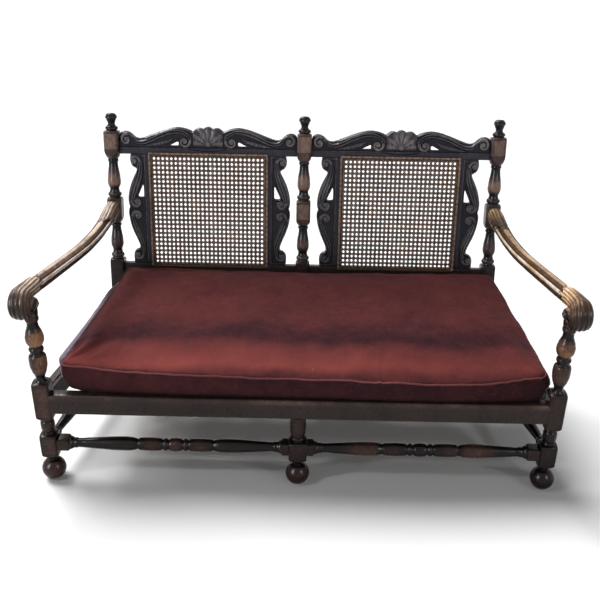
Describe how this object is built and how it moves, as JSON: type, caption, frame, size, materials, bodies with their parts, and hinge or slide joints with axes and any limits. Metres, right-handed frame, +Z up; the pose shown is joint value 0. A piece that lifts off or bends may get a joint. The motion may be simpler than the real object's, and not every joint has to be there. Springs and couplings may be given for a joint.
{
  "type": "cane back settee",
  "caption": "Two-seat settee with open turned and carved wooden frame, caned back panels, scrolled arms, ball feet and one loose velvet seat cushion.",
  "frame": {"origin": "centre of the footprint of the bounding box, on the floor", "axes": "+X along the length of the settee, towards the arm on the right of someone who faces it; the front faces -Y; +Z up"},
  "size_m": [1.4458, 0.7508, 0.8839],
  "materials": {
    "stile_left": "satin",
    "stile_middle": "satin",
    "stile_right": "satin",
    "front_post_left": "satin",
    "front_post_right": "satin",
    "middle_front_leg": "satin",
    "front_seat_rail": "satin",
    "side_seat_rail_left": "satin",
    "side_seat_rail_right": "satin",
    "rear_seat_rail_left": "satin",
    "rear_seat_rail_right": "satin",
    "seat_cross_rail": "satin",
    "front_stretcher_left": "satin",
    "front_stretcher_right": "satin",
    "side_stretcher_left": "satin",
    "side_stretcher_right": "satin",
    "rear_stretcher_left": "satin",
    "rear_stretcher_right": "satin",
    "centre_stretcher": "satin",
    "crest_rail_left": "satin",
    "crest_rail_right": "satin",
    "lower_back_rail_left": "satin",
    "lower_back_rail_right": "satin",
    "carved_slat_left_outer": "satin",
    "carved_slat_left_inner": "satin",
    "carved_slat_right_inner": "satin",
    "carved_slat_right_outer": "satin",
    "arm_left": "satin",
    "arm_right": "satin",
    "cane_panel_left": "matte",
    "cane_panel_right": "matte",
    "webbing_long_1": "matte",
    "webbing_long_2": "matte",
    "webbing_long_3": "matte",
    "webbing_long_4": "matte",
    "webbing_cross_1": "matte",
    "webbing_cross_2": "matte",
    "webbing_cross_3": "matte",
    "webbing_cross_4": "matte",
    "webbing_cross_5": "matte",
    "webbing_cross_6": "matte",
    "webbing_cross_7": "matte",
    "webbing_cross_8": "matte",
    "webbing_cross_9": "matte",
    "webbing_cross_10": "matte",
    "seat_cushion": "matte"
  },
  "bodies": {
    "frame": {"stile_left": "stile_left", "stile_middle": "stile_middle", "stile_right": "stile_right", "front_post_left": "front_post_left", "front_post_right": "front_post_right", "middle_front_leg": "middle_front_leg", "front_seat_rail": "front_seat_rail", "side_seat_rail_left": "side_seat_rail_left", "side_seat_rail_right": "side_seat_rail_right", "rear_seat_rail_left": "rear_seat_rail_left", "rear_seat_rail_right": "rear_seat_rail_right", "seat_cross_rail": "seat_cross_rail", "front_stretcher_left": "front_stretcher_left", "front_stretcher_right": "front_stretcher_right", "side_stretcher_left": "side_stretcher_left", "side_stretcher_right": "side_stretcher_right", "rear_stretcher_left": "rear_stretcher_left", "rear_stretcher_right": "rear_stretcher_right", "centre_stretcher": "centre_stretcher", "crest_rail_left": "crest_rail_left", "crest_rail_right": "crest_rail_right", "lower_back_rail_left": "lower_back_rail_left", "lower_back_rail_right": "lower_back_rail_right", "carved_slat_left_outer": "carved_slat_left_outer", "carved_slat_left_inner": "carved_slat_left_inner", "carved_slat_right_inner": "carved_slat_right_inner", "carved_slat_right_outer": "carved_slat_right_outer", "arm_left": "arm_left", "arm_right": "arm_right", "cane_panel_left": "cane_panel_left", "cane_panel_right": "cane_panel_right", "webbing_long_1": "webbing_long_1", "webbing_long_2": "webbing_long_2", "webbing_long_3": "webbing_long_3", "webbing_long_4": "webbing_long_4", "webbing_cross_1": "webbing_cross_1", "webbing_cross_2": "webbing_cross_2", "webbing_cross_3": "webbing_cross_3", "webbing_cross_4": "webbing_cross_4", "webbing_cross_5": "webbing_cross_5", "webbing_cross_6": "webbing_cross_6", "webbing_cross_7": "webbing_cross_7", "webbing_cross_8": "webbing_cross_8", "webbing_cross_9": "webbing_cross_9", "webbing_cross_10": "webbing_cross_10"},
    "cushion": {"seat_cushion": "seat_cushion"}
  },
  "joints": [
    {"name": "cushion_slide", "type": "slide", "parent": "frame", "child": "cushion", "axis": [0, -1, 0], "range_m": [0, 0.64]}
  ]
}
